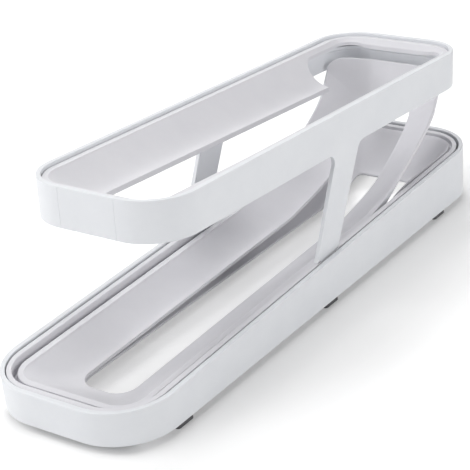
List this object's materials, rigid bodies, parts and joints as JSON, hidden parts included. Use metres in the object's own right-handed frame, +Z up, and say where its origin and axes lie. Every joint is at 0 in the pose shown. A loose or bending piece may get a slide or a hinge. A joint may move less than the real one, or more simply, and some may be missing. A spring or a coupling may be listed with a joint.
{
  "type": "rolling egg dispenser",
  "caption": "Long two-tier white plastic rack: a sloping slotted upper track on two leaning legs feeds a curved slotted slide that sits in a low tray on rubber feet.",
  "frame": {"origin": "middle of the footprint, on the surface that the feet stand on", "axes": "+Y to the rear, along the length; +Z up; +X to the right seen from the front, across the mirror plane x = 0"},
  "size_m": [0.105, 0.368, 0.1175],
  "materials": {
    "shell_plastic": "satin white moulded plastic",
    "tray_plastic": "satin white moulded plastic",
    "foot_rubber": "matt grey rubber"
  },
  "bodies": {
    "base": {"base_shell": "shell_plastic", "base_tray": "tray_plastic", "slide": "tray_plastic", "foot_front_left": "foot_rubber", "foot_front_right": "foot_rubber", "foot_middle_left": "foot_rubber", "foot_middle_right": "foot_rubber", "foot_rear_left": "foot_rubber", "foot_rear_right": "foot_rubber"},
    "upper_tier": {"upper_frame": "shell_plastic"},
    "track_insert": {"upper_track": "tray_plastic"}
  },
  "joints": [
    {"name": "tier_lift", "type": "slide", "parent": "base", "child": "upper_tier", "axis": [0, 0, 1], "range_m": [0, 0.04]},
    {"name": "track_lift", "type": "slide", "parent": "upper_tier", "child": "track_insert", "axis": [0, 0.0583, 0.9983], "range_m": [0, 0.04]}
  ]
}
